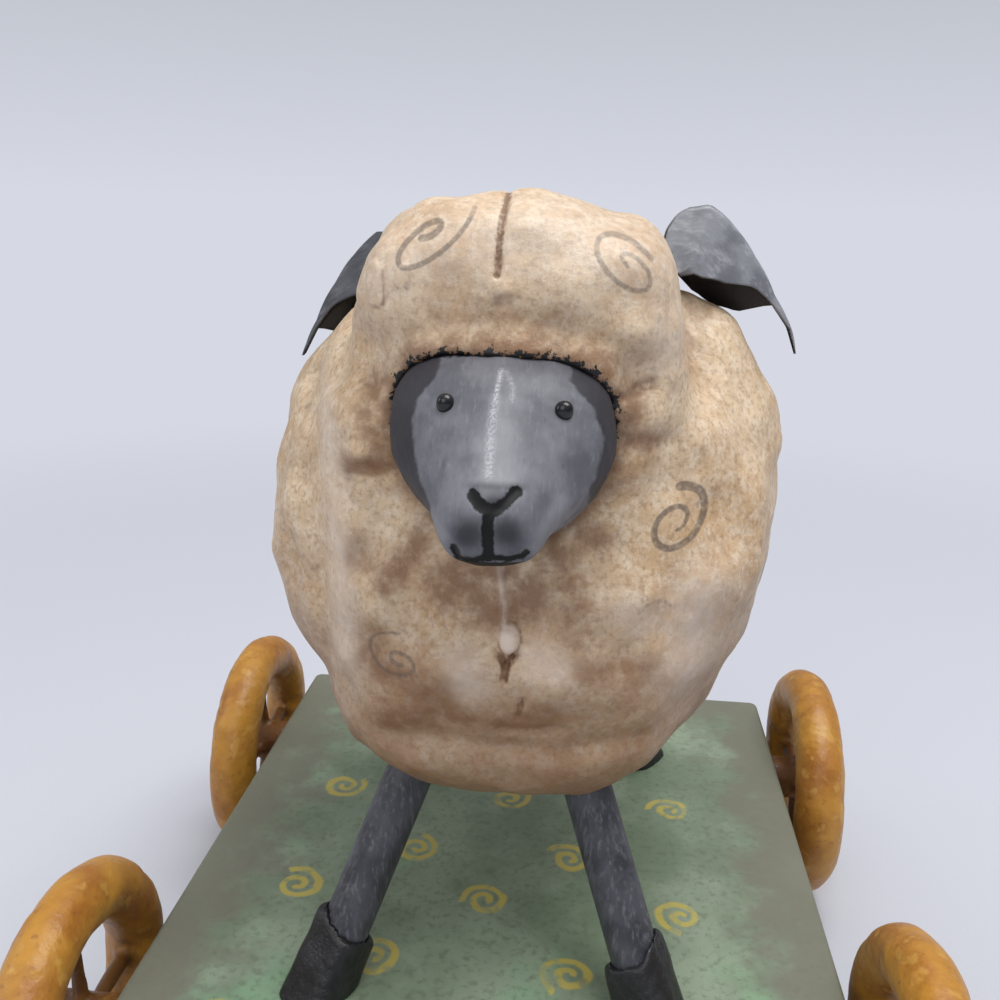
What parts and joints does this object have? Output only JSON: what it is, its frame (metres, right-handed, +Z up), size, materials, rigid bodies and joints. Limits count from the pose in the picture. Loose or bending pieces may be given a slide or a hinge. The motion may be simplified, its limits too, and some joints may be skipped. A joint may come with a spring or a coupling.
{
  "type": "sheep figurine",
  "caption": "Folk-art sheep with a rounded cast fleece, slate face and bent tin ears, standing on splayed dowel legs on a green board that rolls on spoked wheels.",
  "frame": {"origin": "on the ground under the middle of the board, midway between the axles", "axes": "+Z up, +X the sheep's left side and along the axles, the sheep faces -Y"},
  "size_m": [0.1254, 0.1174, 0.1302],
  "materials": {
    "cream_fleece": "matt cream paint with a brown wash on cast resin",
    "slate_face": "matt slate paint, dry-brushed lighter",
    "black_bead": "gloss",
    "grey_tin": "brushed grey paint on thin sheet",
    "grey_dowel": "grey stained",
    "black_hoof": "satin black",
    "green_board": "matt sage green paint, browned at the edges, with yellow curls",
    "ochre_cast": "ochre paint with a brown wash",
    "axle_steel": "plain"
  },
  "bodies": {
    "figurine": {"platform": "green_board", "front_axle": "axle_steel", "rear_axle": "axle_steel", "front_left_axle_cap": "ochre_cast", "front_right_axle_cap": "ochre_cast", "rear_left_axle_cap": "ochre_cast", "rear_right_axle_cap": "ochre_cast", "front_left_leg": "grey_dowel", "front_right_leg": "grey_dowel", "rear_left_leg": "grey_dowel", "rear_right_leg": "grey_dowel", "front_left_hoof": "black_hoof", "front_right_hoof": "black_hoof", "rear_left_hoof": "black_hoof", "rear_right_hoof": "black_hoof", "belly": "cream_fleece", "fleece_left": "cream_fleece", "fleece_right": "cream_fleece", "head": "slate_face", "left_eye": "black_bead", "right_eye": "black_bead", "left_ear": "grey_tin", "right_ear": "grey_tin"},
    "front_left_wheel": {"front_left_wheel": "ochre_cast"},
    "front_right_wheel": {"front_right_wheel": "ochre_cast"},
    "rear_left_wheel": {"rear_left_wheel": "ochre_cast"},
    "rear_right_wheel": {"rear_right_wheel": "ochre_cast"}
  },
  "joints": [
    {"name": "front_left_wheel_spin", "type": "hinge", "parent": "figurine", "child": "front_left_wheel", "pos_m": [0.0546, -0.03775, 0.021], "axis": [1, 0, 0], "continuous": true},
    {"name": "front_right_wheel_spin", "type": "hinge", "parent": "figurine", "child": "front_right_wheel", "pos_m": [-0.0546, -0.03775, 0.021], "axis": [1, 0, 0], "continuous": true},
    {"name": "rear_left_wheel_spin", "type": "hinge", "parent": "figurine", "child": "rear_left_wheel", "pos_m": [0.0546, 0.03775, 0.021], "axis": [1, 0, 0], "continuous": true},
    {"name": "rear_right_wheel_spin", "type": "hinge", "parent": "figurine", "child": "rear_right_wheel", "pos_m": [-0.0546, 0.03775, 0.021], "axis": [1, 0, 0], "continuous": true}
  ]
}
